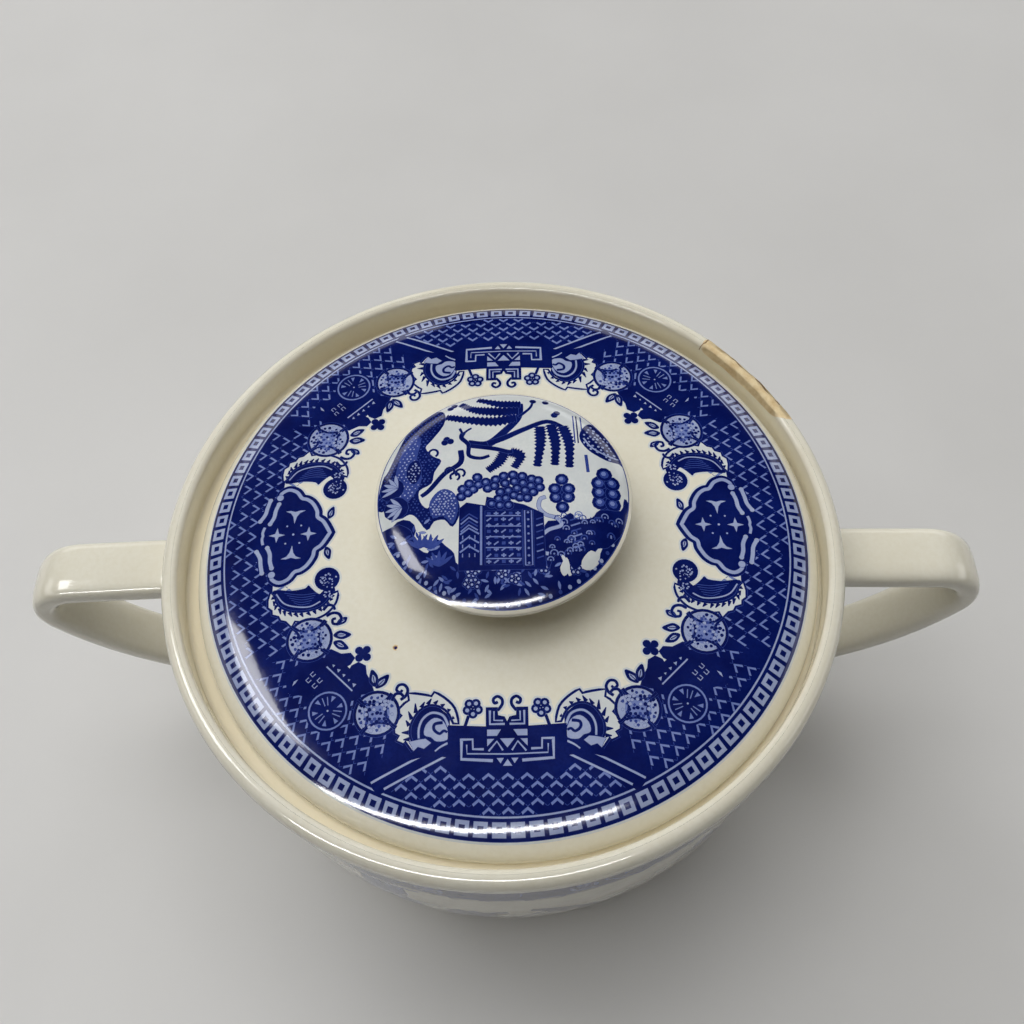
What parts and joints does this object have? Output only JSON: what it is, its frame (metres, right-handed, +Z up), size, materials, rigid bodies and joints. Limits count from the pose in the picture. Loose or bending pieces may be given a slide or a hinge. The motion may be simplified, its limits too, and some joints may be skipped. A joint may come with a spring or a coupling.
{
  "type": "covered sugar bowl",
  "caption": "Round glazed earthenware sugar bowl with two strap side handles and a lift-off domed lid with a disc knob, decorated with a blue trellis border.",
  "frame": {"origin": "centre of the foot ring, on the surface that the bowl stands on", "axes": "+Z up along the bowl's axis, +X along the two handles, +Y towards the back"},
  "size_m": [0.1662, 0.11, 0.0886],
  "materials": {
    "glazed_body": "cream tin-bright glaze over pale earthenware, glossy",
    "printed_lid": "cobalt blue underglaze print under glossy clear glaze",
    "printed_knob": "cobalt blue underglaze print under glossy clear glaze"
  },
  "bodies": {
    "bowl": {"bowl_body": "glazed_body", "handle_left": "glazed_body", "handle_right": "glazed_body"},
    "cover": {"lid": "printed_lid", "lid_knob": "printed_knob"}
  },
  "joints": [
    {"name": "lid_lift", "type": "slide", "parent": "bowl", "child": "cover", "axis": [0, 0, 1], "range_m": [0, 0.045]}
  ]
}
